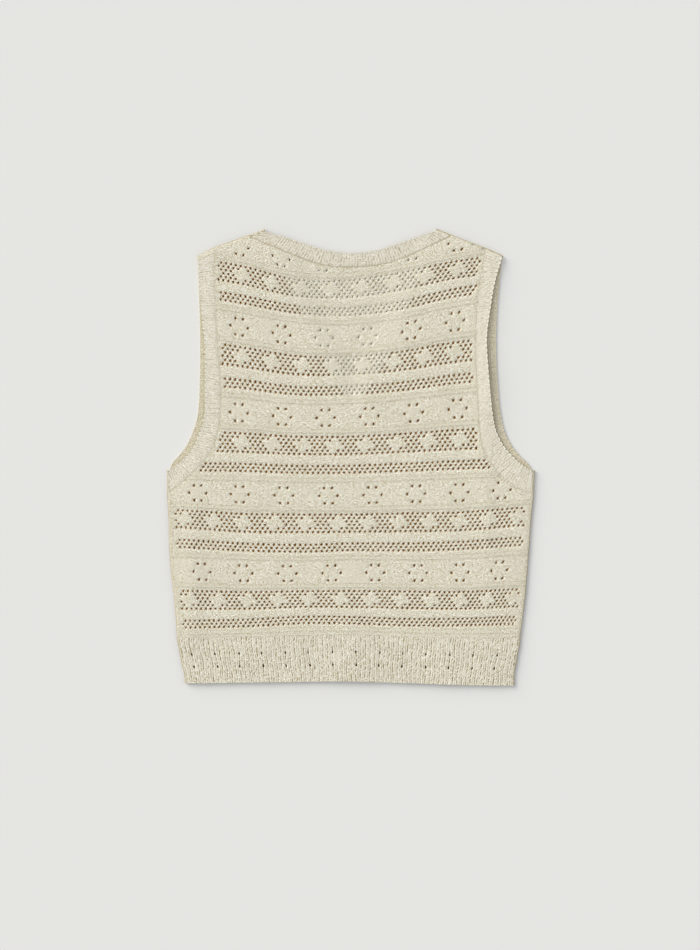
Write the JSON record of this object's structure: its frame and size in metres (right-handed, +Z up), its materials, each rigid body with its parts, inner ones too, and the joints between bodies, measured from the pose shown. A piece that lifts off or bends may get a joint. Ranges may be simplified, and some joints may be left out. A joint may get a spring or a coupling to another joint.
{
  "type": "sweater vest",
  "caption": "Cropped sleeveless lace-knit sweater vest laid flat on its front, with a scooped back neck, a V-neck front and ribbed bands at neck, armholes and hem.",
  "frame": {"origin": "middle of the underside, on the surface that the vest lies on", "axes": "+Z up out of the back, +Y from hem to shoulders, +X to the right as seen from above"},
  "size_m": [0.4108, 0.5109, 0.0054],
  "materials": {
    "lace_knit": "matte cream cotton yarn in a fine eyelet lace knit",
    "rib_knit": "matte cream cotton yarn in a 1x1 rib"
  },
  "bodies": {
    "root": {"back_panel": "lace_knit", "front_panel": "lace_knit", "back_hem_rib": "rib_knit", "front_hem_rib": "rib_knit", "neckband": "rib_knit", "left_armband": "rib_knit", "right_armband": "rib_knit"}
  },
  "joints": []
}
